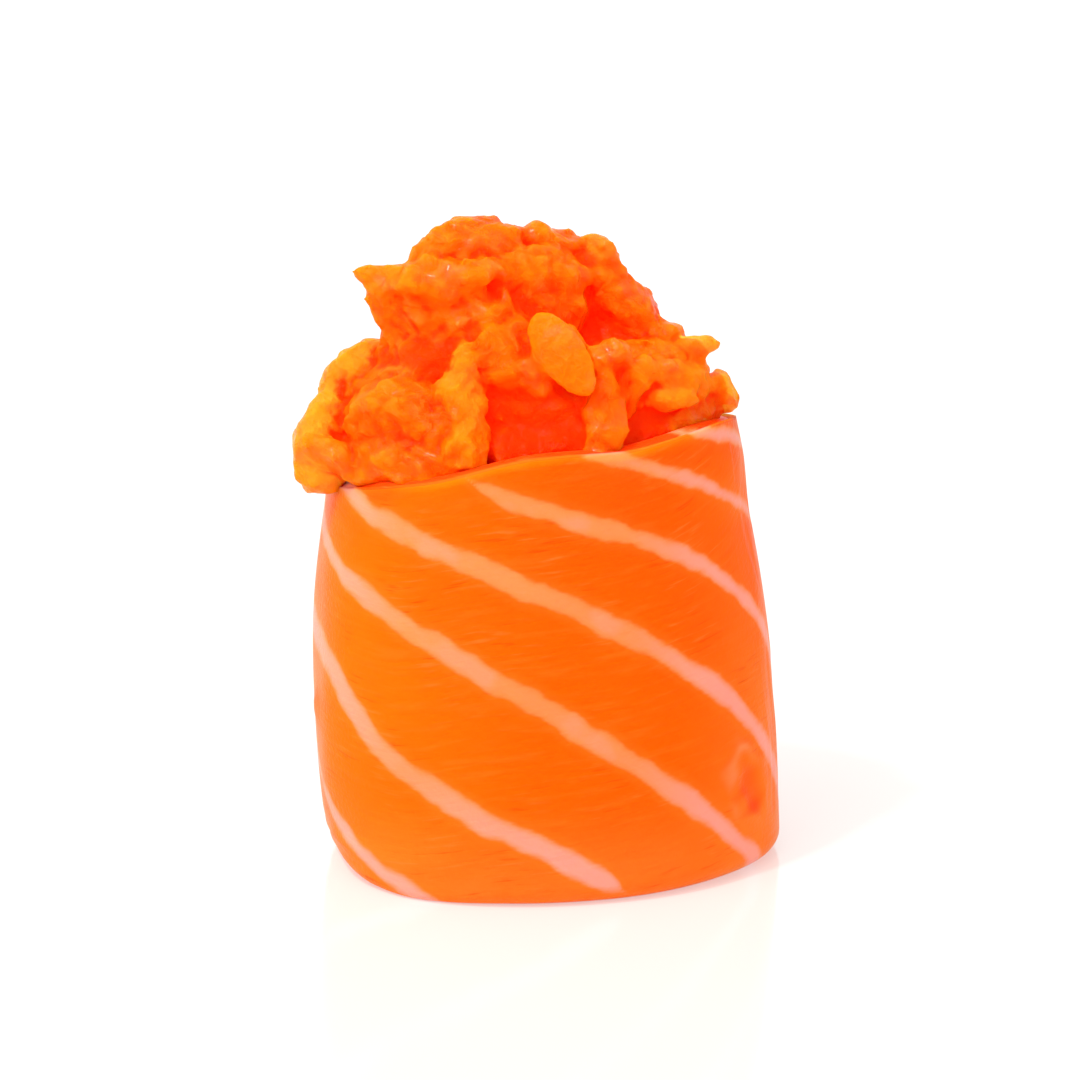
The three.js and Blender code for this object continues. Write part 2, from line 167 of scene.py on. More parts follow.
# The roll's profile, row by row: middle of the underside, round foot, wall, lip, pocket, middle of the pocket.
# Each row has its share of the height, how much it is lifted and how far it is set inwards.
wall_rows, foot_rows, edge_steps, foot_top = 128, 6, 8, 0.088
under_insets, pocket_insets = np.linspace(12.0, 2.0, 5), (4.0, 8.0)
quarter = np.linspace(0, np.pi / 2, edge_steps + 1)
foot = foot_round + changed(angle, foot_changes)
outer_round = lip_round + shoulder_round * np.maximum(np.cos(angle), 0) ** 2
inner_round = np.minimum(slice_thick - outer_round, lip_round)
rows = [(0.0, 0.0, to_the_middle)]
rows += [(0.0, 0.0, inset) for inset in under_insets]
rows += [(0.0, foot * (1 - math.cos(q)), foot * (1 - math.sin(q))) for q in quarter]
rows += [(k, foot * (1 - k / foot_top), 0.0) for k in np.linspace(0.0, foot_top, foot_rows + 1)[1:]]
rows += [(k, 0.0, 0.0) for k in np.linspace(foot_top, 1.0, wall_rows + 2)[1:-1]]
rows += [(1.0, -outer_round * (1 - math.sin(q)), outer_round * (1 - math.cos(q))) for q in quarter]
rows += [(1.0, -inner_round * (1 - math.cos(q)), slice_thick - inner_round * (1 - math.sin(q))) for q in quarter]
rows += [(1.0, pocket_round * (1 - math.sin(q)) - lip_depth, slice_thick + pocket_round * (1 - math.cos(q)))
         for q in quarter]
rows += [(1.0, -lip_depth, slice_thick + inset) for inset in pocket_insets]
rows += [(1.0, -lip_depth, to_the_middle)]
share = np.array([r[0] for r in rows])[:, None]
lift = np.stack([np.broadcast_to(r[1], (columns,)) for r in rows])
inset = np.stack([np.broadcast_to(r[2], (columns,)) for r in rows])


def waves(a, b, table):
    """Sum of slow waves: each row gives height, turns along a, turns along b and phase."""
    return sum(h * np.sin(fa * a + fb * b + phase) for h, fa, fb, phase in table)


# Hand-rolled unevenness of the outer face, fading out before the foot, the rim and both ends of the slice:
# slow swells, fine folds at the right end, a dent with a wavy edge low down there, a bulge at the left edge.
share_fade, end_fade = 0.05, 4
swell_waves = [(0.07, 0.31, 0.12, 0.4), (0.06, -0.23, 0.35, 2.0), (0.04, 0.74, -0.28, 1.1)]
fold_stretch, fold_sway, sway_turns = (17, 5, 31, 6), 0.5, 0.5
fold_waves = [(0.06, 2.9, 0.0, 0.0), (0.04, 4.7, 0.3, 1.0)]
dent_s, dent_z, dent_half_s, dent_half_z, dent_slant = 15.4, 7.4, 2.3, 2.9, 0.25
dent_depth, dent_brim, dent_brim_at, dent_brim_wide = 0.35, 0.07, 1.15, 0.25
dent_waves = [(0.12, 1.9, 0.8), (0.08, -1.1, 2.6)]
bulge_high, bulge_s, bulge_z, bulge_half_s, bulge_half_z = 0.3, -27.5, 13.4, 1.4, 1.5
skin_level, right_part, least_pressed = 0.05, 18, 0.035
s_grid = along[None, :-1]
rim_z = rolled(angle, 1.0, 0, 0)[:, 2][None, :]
z_grid = share * rim_z
on_wall = ((share > 0) & (share < 1)) * between(share, foot_top, share_fade, 1, share_fade)
swell = waves(s_grid, z_grid, swell_waves)
swayed = s_grid + fold_sway * np.sin(sway_turns * z_grid)
folds = between(s_grid, *fold_stretch) * waves(swayed, z_grid, fold_waves)
dent_reach = np.hypot((s_grid - dent_s + dent_slant * (z_grid - dent_z)) / dent_half_s,
                      (z_grid - dent_z) / dent_half_z)
for high, turns_s, turns_z in dent_waves:
    dent_reach = dent_reach + high * np.sin(turns_s * s_grid + turns_z * z_grid)
brim = dent_brim * np.exp(-((dent_reach - dent_brim_at) / dent_brim_wide) ** 2)
dent = dent_depth * (1 - smooth(dent_reach)) - brim
bulge_reach = -((s_grid - bulge_s) / bulge_half_s) ** 2 - ((z_grid - bulge_z) / bulge_half_z) ** 2
bulge = bulge_high * np.exp(bulge_reach)
pressed = skin_level + swell + folds + dent - bulge
pressed = np.where(s_grid > right_part, np.maximum(pressed, least_pressed), pressed)
inset = inset + on_wall * between(s_grid, along[0], end_fade, along[-1], end_fade) * pressed

grid = rolled(angle[None, :], share, lift, inset)
points = np.concatenate([grid[:1, 0], grid[1:-1].reshape(-1, 3), grid[-1:, 0]])
wrap = mesh_object("salmon_wrap_slice", points, closed_faces(len(rows), columns))

# Fat lines of the slice, the upper right one first: height at the front, slope, bend and twist along the slice,
# half width, where it starts, the left end from which it runs on straight, its slope there, and for one its end.
front_lines = [
    (38.35, -0.06, 0.0100, 0.0, 0.65, 8.0, -24.0, 0.35),
    (36.93, 0.0888, 0.01830, -0.000248, 0.62, -1.5, -24.0, 0.35),
    (31.77, 0.307, 0.0001, 0.000745, 0.78, -11.5, -24.0, 0.35),
    (24.57, 0.508, 0.0106, 0.000224, 0.90, -60.0, -24.0, 0.35),
    (14.49, 0.718, 0.0080, 0.0, 0.92, -60.0, -24.0, 0.35),
    (2.66, 0.649, 0.0168, 0.000839, 1.05, -60.0, -22.0, 0.30, 4.4),
    (-6.9, 0.50, 0.0, 0.0, 0.86, -60.0, -24.0, 0.80)]
# Further lines round the back, all alike, each one step on along the slice.
later_line = (40.4, 0.10, 0.0075, 0.0, 0.7, -90.0, -24.0, 0.35)
later_step, later_count = 12.0, 4
straight_from, past_the_end = 30.0, 200.0
line_swells_in, line_thins_out, line_gone = 7, 4, 0.5
nearest_kept, farthest_kept = -2, 3


def line_gap(s, z, height, slope, bend, twist, half, start, left_end, left_slope, end=past_the_end):
    """Distance in millimetres from the edge of one fat line, below 0 inside it.
    The line falls by its slope, bend and twist; it runs on straight left of its left end and round the back,
    swells from nothing at its start and thins out before its end. It wanders a little and is uneven in width."""
    held = np.clip(s, left_end, straight_from)
    tilt = slope + 2 * bend * held + 3 * twist * held ** 2
    level = height - slope * held - bend * held ** 2 - twist * held ** 3
    level = level + left_slope * np.maximum(left_end - s, 0) - tilt * np.maximum(s - straight_from, 0)
    grown = between(s, start, line_swells_in, end, line_thins_out)
    thick_and_thin = 1 + 0.10 * np.sin(0.7 * s + height) + 0.05 * np.sin(1.9 * s + 2 * height)
    wide = half * grown * thick_and_thin - line_gone * (1 - grown)
    wander = 0.09 * np.sin(0.9 * s + height) + 0.05 * np.sin(2.3 * s + 3 * height)
    return np.abs(z + wander - level) / np.sqrt(1 + tilt ** 2) - wide


def joined(values):
    """Values round the roll with the first column once more at the end, so that the seam closes."""
    return np.concatenate([values, values[:, :1]], axis=1)


s_line = np.broadcast_to(along[None, :], (len(rows), columns + 1))
z_line = joined(np.where(share < 1, grid[..., 2], rim_z))
gaps = [line_gap(s_line, z_line, *line) for line in front_lines]
gaps += [line_gap(s_line - later_step * n, z_line, *later_line) for n in range(1, later_count + 1)]
fat_gap = np.clip(np.min(gaps, axis=0), nearest_kept, farthest_kept)

# The slice's own map, 100 mm to a unit: length along it, and way up its face less the rise of the fibres,
# which climb to the right and bend up more near the upper right corner.
map_unit, first_wall_row = 0.01, len(under_insets) + edge_steps + 1
fibre_rise, fibre_bend, bend_from, bend_most, bend_low, bend_high = 0.09, 0.026, 8, 13, 18, 12
climbed = np.cumsum(np.linalg.norm(np.diff(joined(grid), axis=0), axis=2), axis=0)
climbed = np.concatenate([np.zeros((1, columns + 1)), climbed])
climbed -= climbed[first_wall_row]
bent_up = fibre_bend * np.clip(s_line - bend_from, 0, bend_most) ** 2
bent_up = bent_up * smooth((z_line - bend_low) / bend_high)
rise = fibre_rise * s_line + bent_up

# Where the slice turns away at both ends, and round the dent a painted highlight on its brim, with painted shade in
# its redder middle.
right_turned, left_turned = (18, 5, 36, 12), (-40, 12, -23.5, 5)
crease_at, crease_wide, crease_end, crease_fade, dent_shade = 1.12, 0.22, 17.5, 3, 0.7
turned_edge = np.maximum(between(s_line, *right_turned), between(s_line, *left_turned))
dent_highlight_and_shade = np.exp(-((dent_reach - crease_at) / crease_wide) ** 2) * smooth((crease_end - s_grid) / crease_fade)
dent_highlight_and_shade = joined((dent_highlight_and_shade - dent_shade * (1 - smooth(dent_reach))) * on_wall)

# Each face corner keeps its place on the map and its own values, in the order in which the faces are made.
last = len(rows) - 1
ring = np.arange(columns)[:, None]
low = np.repeat(np.arange(1, last - 1), columns)[:, None]
around = np.tile(ring, (last - 2, 1))
corner_rows = np.concatenate([
    np.tile([0, 1, 1], columns), (low + [0, 0, 1, 1]).ravel(), np.tile([last - 1, last - 1, last], columns)])
corner_columns = np.concatenate([
    (ring + [0, 1, 0]).ravel(), (around + [0, 1, 1, 0]).ravel(), (ring + [0, 1, 0]).ravel()])
corners = corner_rows, corner_columns
places = wrap.data.uv_layers.new(name="slice")
places.data.foreach_set("uv", (np.stack(
    [along[corner_columns], (climbed - rise)[corners]], axis=-1) * map_unit).astype(np.float32).ravel())
for name, values in (("fat_gap", fat_gap), ("turned_edge", turned_edge), ("dent_highlight_and_shade", dent_highlight_and_shade)):
    layer = wrap.data.attributes.new(name, "FLOAT", "CORNER")
    layer.data.foreach_set("value", values[corners].astype(np.float32))


def node(tree, kind, **settings):
    """A shader node of a kind, with its own settings."""
    made = tree.nodes.new("ShaderNode" + kind)
    for key, value in settings.items():
        setattr(made, key, value)
    return made


def feed(tree, target, **sources):
    """Fills sockets of a node: named with _ for a space, or numbered n0, n1 and so on.
    A socket is linked, a plain value is set."""
    for key, source in sources.items():
        spot = target.inputs[int(key[1:]) if key[0] == "n" and key[1:].isdigit() else key.replace("_", " ")]
        if isinstance(source, bpy.types.NodeSocket):
            tree.links.new(source, spot)
        else:
            spot.default_value = source
    return target


def arithmetic(tree, operation, first, second=0.0, third=0.0):
    """One maths node, giving its result."""
    made = node(tree, "Math", operation=operation)
    feed(tree, made, n0=first, n1=second, n2=third)
    return made.outputs[0]


def times(tree, first, second):
    """Two values multiplied."""
    return arithmetic(tree, "MULTIPLY", first, second)


def ranged(tree, value, low, high, to_low=0.0, to_high=1.0):
    """A value carried softly from one range to another, held at both ends."""
    made = node(tree, "MapRange", interpolation_type="SMOOTHSTEP")
    feed(tree, made, Value=value, n1=low, n2=high, n3=to_low, n4=to_high)
    return made.outputs[0]


def layered(tree, colour, layers):
    """A colour with tints laid over it in turn. Each layer has a name, its share and its tint."""
    for name, share, tint in layers:
        made = node(tree, "Mix", data_type="RGBA", label=name)
        feed(tree, made, n0=share, n6=colour, n7=tint if isinstance(tint, bpy.types.NodeSocket) else (*tint, 1))
        colour = made.outputs[2]
    return colour


def noise(tree, vector, scale, detail, rough=0.5):
    """Soft noise from about 0.3 to 0.7, so many features to a unit of length."""
    made = node(tree, "TexNoise")
    feed(tree, made, Vector=vector, Scale=scale, Detail=detail, Roughness=rough)
    return made.outputs[0]


def stretched(tree, vector, length_wise, cross_wise, detail):
    """Noise stretched along the fibres: how many features fit in a unit of the slice's map each way."""
    spread = feed(tree, node(tree, "Mapping"), Vector=vector, Scale=(length_wise, cross_wise, 1.0))
    return noise(tree, spread.outputs[0], 1.0, detail, 0.6)


def own(tree, name):
    """A value that the mesh keeps under a name."""
    return node(tree, "Attribute", attribute_name=name).outputs["Fac"]


# Flesh grain, shared by the slice and the minced fish: a fine wet grain as height, and soft blotches as a mask.
grain = bpy.data.node_groups.new("flesh grain", "ShaderNodeTree")
for name, way, kind in (
        ("Vector", "INPUT", "Vector"), ("Blotch Scale", "INPUT", "Float"), ("Grain Scale", "INPUT", "Float"),
        ("Height", "OUTPUT", "Float"), ("Blotch", "OUTPUT", "Float")):
    grain.interface.new_socket(name, in_out=way, socket_type="NodeSocket" + kind)
given = grain.nodes.new("NodeGroupInput").outputs
taken = grain.nodes.new("NodeGroupOutput").inputs
blotches = noise(grain, given["Vector"], given["Blotch Scale"], 2.0)
grain.links.new(noise(grain, given["Vector"], given["Grain Scale"], 4.0), taken["Height"])
grain.links.new(ranged(grain, blotches, 0.35, 0.65), taken["Blotch"])

# Finish of the slice: orange flesh in faint fibres, yellower at the left with painted lamp light, paler low down
# with painted light from the table, painted sheen at the right and at both ends, a painted highlight and shade
# round the dent, pale pink fat lines, fine dark cracks where the slice turns away at its ends.
salmon = bpy.data.materials.new("salmon_slice")
salmon.use_nodes = True
tree = salmon.node_tree
place = node(tree, "UVMap", uv_map="slice").outputs[0]
spot = feed(tree, node(tree, "SeparateXYZ"), Vector=node(tree, "TexCoord").outputs["Object"]).outputs
facing = feed(tree, node(tree, "SeparateXYZ"), Vector=node(tree, "NewGeometry").outputs["Normal"]).outputs
fibre = stretched(tree, place, 15.0, 115.0, 3.0)
dash = stretched(tree, place, 22.0, 250.0, 2.0)
crack = stretched(tree, place, 330.0, 46.0, 2.0)
flesh = node(tree, "Group", node_tree=grain)
flesh = feed(tree, flesh, Vector=place, Blotch_Scale=16.0, Grain_Scale=260.0).outputs
patch = noise(tree, place, 13.0, 2.0)
ragged = noise(tree, place, 60.0, 3.0)
turned, fold = own(tree, "turned_edge"), own(tree, "dent_highlight_and_shade")

# Where things lie: edge of the fat, made ragged by noise and fibres, and the sides and foot of the wrap in metres.
edge = arithmetic(tree, "MULTIPLY_ADD", ragged, 0.45, own(tree, "fat_gap"))
edge = arithmetic(tree, "MULTIPLY_ADD", arithmetic(tree, "SUBTRACT", fibre, 0.5), 0.5, edge)
fat_mask = ranged(tree, edge, 0.42, 0.02)
patchy = ranged(tree, patch, 0.45, 0.58)
topness = ranged(tree, facing[2], 0.02, 0.4)
leftness = ranged(tree, spot[0], 0.004, -0.016)
rightness = ranged(tree, spot[0], 0.010, 0.021)
lowness = ranged(tree, spot[2], 0.010, 0.000)
orange = layered(tree, (1.0, 0.112, 0.0002, 1), [
    # Painted light: yellower and brighter at the left, the side towards the soft lamp.
    ("yellower left with painted lamp light", leftness, (1.0, 0.145, 0.001)),
    # Painted sheen: paler and pinker at the right, where the roll turns away.
    ("paler right with painted sheen", times(tree, rightness, 0.6), (1.0, 0.225, 0.016)),
    # Painted light and reflection from the white table below: paler at the foot.
    ("paler foot with painted table light", times(tree, lowness, 0.6), (0.98, 0.21, 0.025)),
    ("pale fibres", ranged(tree, fibre, 0.48, 0.72, 0.0, 0.45), (1.0, 0.17, 0.010)),
    ("soft blotches", times(tree, flesh["Blotch"], 0.25), (0.98, 0.115, 0.001)),
    ("pale border of the fat", times(tree, ranged(tree, edge, 1.2, 0.3), 0.3), (1.0, 0.18, 0.012)),
    # Painted sheen: pinker where the slice turns away at both ends.
    ("pinker ends with painted sheen", times(tree, turned, 0.45), (1.0, 0.24, 0.10)),
    # Redder wherever the slice faces up.
    ("redder where it faces up", times(tree, topness, 0.9), (1.0, 0.052, 0.003)),
    ("pale dashes", times(tree, ranged(tree, dash, 0.44, 0.28, 0.0, 0.45), patchy), (1.0, 0.20, 0.03)),
    ("dark dashes", times(tree, ranged(tree, dash, 0.58, 0.72, 0.0, 0.6), patchy), (0.86, 0.060, 0.001)),
    # Painted highlight on the brim round the dent, and painted shade in its middle.
    ("painted highlight round the dent", times(tree, times(tree, fold, 0.9), flesh["Blotch"]), (1.0, 0.25, 0.08)),
    ("painted shade in the dent", times(tree, fold, -0.7), (1.0, 0.065, 0.006))])

# The fat is pinker at both ends, at the sides and low down, which is painted sheen and painted light from the
# table, and in patches of its own; its borders are paler orange.
pinker = arithmetic(tree, "MAXIMUM", turned, ranged(tree, spot[0], 0.006, 0.015))
for mask in (ranged(tree, spot[2], 0.014, 0.003), ranged(tree, spot[0], -0.009, -0.016, 0.0, 0.7),
             ranged(tree, patch, 0.5, 0.62, 0.0, 0.3)):
    pinker = arithmetic(tree, "MAXIMUM", pinker, mask)
core = layered(tree, (1.0, 0.25, 0.075, 1), [("pinker fat with painted sheen", pinker, (1.0, 0.32, 0.235))])
pale = layered(tree, (1.0, 0.22, 0.05, 1), [("middle of the fat", ranged(tree, edge, 0.35, -0.4), core)])
cracks = times(tree, ranged(tree, crack, 0.56, 0.66, 0.0, 0.6), turned)
cracks = times(tree, cracks, ranged(tree, patch, 0.42, 0.56, 0.25, 1.0))
colour = layered(tree, orange, [("fat lines", fat_mask, pale), ("cracks", cracks, (0.72, 0.085, 0.010))])
height = arithmetic(tree, "MULTIPLY_ADD", fibre, 0.8, flesh["Height"])
height = arithmetic(tree, "MULTIPLY_ADD", dash, -0.9, height)
height = arithmetic(tree, "MULTIPLY_ADD", cracks, -1.2, height)
bump = feed(tree, node(tree, "Bump"), Strength=0.22, Distance=0.0003, Height=height)
feed(tree, tree.nodes["Principled BSDF"], Base_Color=colour, Normal=bump.outputs[0], Roughness=0.3, IOR=1.36,
     Specular_IOR_Level=0.04, Subsurface_Weight=0.5, Subsurface_Radius=(1.0, 0.3, 0.1), Subsurface_Scale=0.002)
wrap.data.materials.append(salmon)
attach(wrap, "root")
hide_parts("salmon_wrap")

# Minced raw salmon heaped in the lip: soft chopped morsels pressed together by hand, with small bits between.
# Each morsel: first end x y z, second end x y z, radius at each end, flatness along Y, and its tone, which carries
# painted light and shade as well as the flesh's own tone: the higher it is, the paler and yellower, as on lit and
# thin tips; below 0 it is red, as painted shade in beds and hollows.
morsels = {
    "bed": (-9.4, 0.6, 32.8, 8.2, 3.4, 35.6, 6.2, 6.2, 1.5, 0.2),
    "core_low": (-6.4, 1.5, 36.4, 6.3, 2.8, 38.4, 8.2, 7.6, 0.95, 0.1),
    "core_mid": (-5.5, 1.4, 43.6, 1.7, 2.2, 44.2, 6.2, 4.8, 0.95, 0.1),
    "front_left": (-10.9, -6.0, 38.2, -7.3, -6.8, 37.4, 3.9, 3.7, 0.9, 0.3),
    "foot_left": (-12.1, -8.4, 35.3, -6.8, -10.2, 34.9, 1.8, 1.8, 0.9, 0.3),
    "foot_corner": (-14.6, -6.2, 34.8, -11.6, -7.9, 35.2, 1.9, 2.0, 0.9, 0.4),
    "lobe": (-17.2, -3.6, 37.7, -17.2, -5.1, 33.7, 2.05, 2.25, 0.9, 1.45),
    "lobe_root": (-16.0, -2.6, 35.5, -12.5, -3.5, 37.3, 2.5, 2.8, 0.9, 0.6),
    "shoulder": (-15.5, -1.3, 39.7, -12.9, 0.1, 40.85, 2.05, 2.5, 0.9, 1.3),
    "neck": (-9.2, -2.4, 43.1, -7.4, -2.6, 46.9, 3.5, 3.4, 0.9, 0.4),
    "horn": (-14.0, -2.9, 49.3, -7.3, -3.0, 47.8, 0.6, 3.1, 0.7, 1.1),
    "horn_edge": (-12.7, -3.3, 47.0, -9.1, -2.9, 45.9, 0.7, 2.5, 0.7, 0.7),
    "crown": (-6.6, 1.4, 47.8, 3.6, 2.2, 47.4, 2.9, 2.6, 1.1, 0.3),
    "summit": (-5.9, -0.9, 51.6, -2.7, -0.4, 51.8, 1.7, 1.5, 1.6, 0.1),
    "summit_foot": (-8.3, -1.7, 50.6, -5.2, -1.7, 50.7, 1.8, 1.6, 1.2, 0.4),
    "brow": (-3.4, -2.9, 49.3, 2.2, -1.5, 48.8, 1.9, 1.8, 1.0, 0.3),
    "ridge_top": (-1.5, 1.1, 50.9, 4.7, 1.9, 49.2, 1.8, 1.2, 1.5, 0.5),
    "knob_top": (0.0, -0.1, 51.8, 0.3, -0.1, 51.6, 0.8, 0.8, 1.0, 0.7),
    "knob_right": (5.1, 0.6, 50.7, 5.3, 0.6, 50.2, 1.1, 1.1, 1.0, 1.2),
    "upper_right": (4.3, 2.6, 46.9, 7.0, 2.0, 45.3, 3.0, 2.45, 1.0, -0.2),
    "slope_right": (4.9, 0.0, 48.9, 9.3, 0.3, 43.5, 1.25, 1.5, 1.2, -0.15),
    "slope_foot": (9.6, -0.7, 43.2, 11.2, -1.0, 44.0, 1.1, 0.8, 1.0, 1.0),
    "shelf": (6.4, -3.3, 41.7, 13.4, -1.9, 43.2, 2.0, 0.75, 0.8, 0.7),
    "shelf_tip": (12.7, -1.9, 43.6, 14.4, -2.2, 43.0, 0.72, 0.6, 0.8, 2.4),
    "right_mass": (8.8, -3.5, 40.3, 11.7, -2.2, 40.0, 3.2, 2.2, 1.0, 1.05),
    "right_low": (12.2, -1.3, 38.7, 13.7, -0.2, 38.0, 1.55, 1.1, 1.0, 1.6),
    "knob_end": (15.0, -0.8, 39.7, 15.15, -0.8, 38.2, 1.0, 0.95, 0.9, 4.6),
    "chip_right": (10.1, -5.9, 39.7, 12.7, -5.4, 39.3, 1.2, 0.45, 0.9, 1.2),
    "flake": (1.5, -8.3, 45.05, 3.9, -10.0, 42.05, 2.25, 1.6, 0.45, 0.75),
    "flake_root": (0.6, -5.0, 44.6, 2.3, -7.6, 43.8, 2.0, 1.5, 0.9, 0.5),
    "ridge_right": (6.0, -7.6, 41.5, 4.8, -9.4, 36.4, 1.4, 1.6, 0.9, -0.15),
    "ridge_root": (6.4, -4.4, 40.6, 5.2, -5.4, 37.2, 2.1, 2.0, 0.9, 0.3),
    "hollow_bed": (-3.3, -5.4, 39.4, 3.2, -5.8, 38.3, 2.8, 2.6, 0.9, -0.7),
    "hollow_foot": (-2.6, -7.2, 35.6, 4.4, -7.0, 35.5, 2.7, 2.6, 0.9, -1.0),
    "right_bed": (6.2, -5.2, 36.4, 11.2, -2.9, 37.0, 2.8, 2.4, 0.9, -1.0),
    "left_slope": (-13.2, -3.4, 38.9, -10.2, -4.4, 40.4, 2.4, 2.6, 0.9, 0.2),
    "left_fill": (-9.4, -4.6, 42.4, -7.0, -5.2, 42.7, 2.2, 2.2, 0.9, -0.8),
    "brow_fill": (-2.6, -2.4, 46.4, 1.6, -1.8, 46.2, 2.7, 2.6, 0.9, 0.0),
    "mid_fill": (-4.4, -5.9, 43.1, 0.2, -6.6, 42.2, 2.0, 1.9, 0.9, 0.1),
    "ridge_left": (-5.6, -6.9, 43.4, -5.9, -10.0, 35.2, 1.5, 1.7, 0.9, 1.2),
    "front_mid": (-2.7, -4.7, 43.8, 0.4, -4.8, 42.4, 2.8, 2.8, 0.9, 0.3),
    "ledge": (-9.9, -4.4, 48.6, -4.7, -5.0, 49.7, 1.2, 1.7, 1.0, 0.7),
    "lump_mid": (-3.6, -6.0, 44.4, -2.4, -6.2, 43.9, 1.4, 1.5, 0.9, 0.5),
    "lobe_lump": (-17.5, -6.7, 35.8, -15.6, -7.1, 35.6, 1.0, 0.9, 0.9, 1.1),
    "ridge_lump": (-6.4, -8.6, 41.2, -5.9, -9.3, 40.0, 1.0, 0.9, 0.9, 1.2),
    "ridge_foot": (-5.3, -9.8, 37.4, -5.2, -10.4, 35.6, 1.0, 1.0, 0.9, 0.9),
    "right_fold": (8.2, -5.9, 42.4, 7.4, -6.6, 40.0, 1.2, 1.1, 0.9, 0.7),
    "right_lump": (9.9, -4.4, 42.3, 9.5, -5.1, 40.6, 1.0, 1.0, 0.9, 0.7),
    "under_ledge": (-6.8, -4.4, 46.5, -3.4, -4.9, 46.3, 1.8, 1.7, 0.9, 0.4),
    "right_foot": (11.6, -4.0, 37.2, 12.9, -1.4, 37.6, 1.7, 1.5, 0.9, 0.5),
    "root_lump": (6.6, -6.4, 43.6, 5.2, -7.0, 43.1, 0.9, 0.9, 0.9, 0.5),
    "back_left": (-10.0, 4.8, 38.0, -6.0, 6.4, 40.0, 3.2, 3.2, 0.9, 0.4),
    "back_mid": (-3.0, 7.0, 41.0, 3.0, 6.8, 43.0, 3.0, 2.8, 0.9, 0.6),
    "back_right": (7.5, 5.6, 39.8, 10.8, 3.4, 40.8, 2.8, 2.3, 0.9, 0.4),
    "back_foot": (-4.2, 9.4, 36.0, 2.4, 10.2, 37.0, 1.7, 1.9, 0.9, 0.5),
    "back_high": (-4.8, 4.6, 46.8, 0.6, 5.0, 46.6, 2.2, 2.4, 1.0, 0.5),
}
long_wave, short_wave, least_radius = 0.34, 0.14, 0.2


def unit(v):
    """Vectors brought to length 1."""
    return v / np.linalg.norm(v, axis=-1, keepdims=True)


def frames_of(table):
    """Frame of each morsel: middle, half length, axis and the two directions across it, mean radius,
    change of radius from the middle to the second end, and flatness."""
    first, second, first_radius, second_radius = table[:, 0:3], table[:, 3:6], table[:, 6], table[:, 7]
    half = (second - first) / 2
    axis = unit(half)
    depth = unit(np.array([0.0, 1.0, 0.0]) - axis * axis[:, 1:2])
    return {"middle": (first + second) / 2, "half": half, "axis": axis, "depth": depth,
            "side": np.cross(axis, depth), "mean": (first_radius + second_radius) / 2,
            "change": (second_radius - first_radius) / 2, "flat": table[:, 8]}


def on_morsel(f, n, ball):
    """Points of the unit ball carried onto morsel n: a tapered egg stretched between its two ends."""
    r = (f["mean"][n] + ball[..., 1] * f["change"][n])[..., None]
    return (f["middle"][n] + f["half"][n] * ball[..., 1:2] + f["side"][n] * r * ball[..., 0:1]
            + f["axis"][n] * r * ball[..., 1:2] + f["depth"][n] * r * f["flat"][n][..., None] * ball[..., 2:3])


def depth_in(f, points):
    """How far each point is from the middle of each morsel, 1 at its surface: the root of the squared distances
    along, across and through it, each over its reach that way. One row a morsel."""
    away = points[None] - f["middle"][:, None]
    reach = np.linalg.norm(f["half"], axis=1) + f["mean"]
    lengthwise = np.einsum("mpk,mk->mp", away, f["axis"]) / reach[:, None]
    r = np.maximum(f["mean"][:, None] + lengthwise * f["change"][:, None], least_radius)
    sideways = np.einsum("mpk,mk->mp", away, f["side"]) / r
    deep = np.einsum("mpk,mk->mp", away, f["depth"]) / (r * f["flat"][:, None])
    return np.sqrt(lengthwise ** 2 + sideways ** 2 + deep ** 2)


def uneven(p):
    """Shift that makes the flesh uneven: one long and one short wave for each direction."""
    x, y, z = p[..., 0], p[..., 1], p[..., 2]
    return np.stack([waves(y, z, [(long_wave, 0.9, 0.4, 1.34), (short_wave, -1.7, 2.3, 1.38)]),
                     waves(x, z, [(long_wave, 0.5, 0.8, 2.78), (short_wave, 2.1, 1.9, 1.14)]),
                     waves(x, y, [(long_wave, 0.85, -0.6, 0.2), (short_wave, -1.6, 2.4, 0.0)])], axis=-1)


def ball_grid(across, down):
    """Unit ball as a grid: pole at +Y, rings down to the pole at -Y."""
    tilt = np.linspace(0, np.pi, down + 1)[1:-1, None]
    turn = np.linspace(0, 2 * np.pi, across, endpoint=False)[None, :]
    ring = np.stack([np.sin(tilt) * np.cos(turn), np.cos(tilt) + 0 * turn, np.sin(tilt) * np.sin(turn)], axis=-1)
    return np.concatenate([[[0, 1, 0]], ring.reshape(-1, 3), [[0, -1, 0]]])


table = np.array(list(morsels.values()))
big = frames_of(table)

# Chopped bits stuck on the morsels by a fixed rule: a random morsel, place on it, lie along it and size.
# Bits are left out where they would be buried, and on morsels that are small or very flat.
bit_tries, bit_smallest, bit_range, bit_longest, bit_taper = 64, 0.6, 0.7, 2.1, 0.8
bit_flattest, host_least, host_flattest, bit_sunk, bit_buried = 0.6, 1.25, 0.5, 0.5, 0.85


def fixed_numbers(number):
    """Endless random numbers from 0 to 1: each whole number is the last one times 1664525, plus 1013904223,
    kept to 32 bits."""
    while True:
        number = (number * 1664525 + 1013904223) % 2 ** 32
        yield number / 2 ** 32


def direction(numbers):
    """Random direction, even over the ball: an even height and an even turn."""
    up, turn = 2 * next(numbers) - 1, 2 * math.pi * next(numbers)
    level = math.sqrt(1 - up * up)
    return np.array([level * math.cos(turn), up, level * math.sin(turn)])


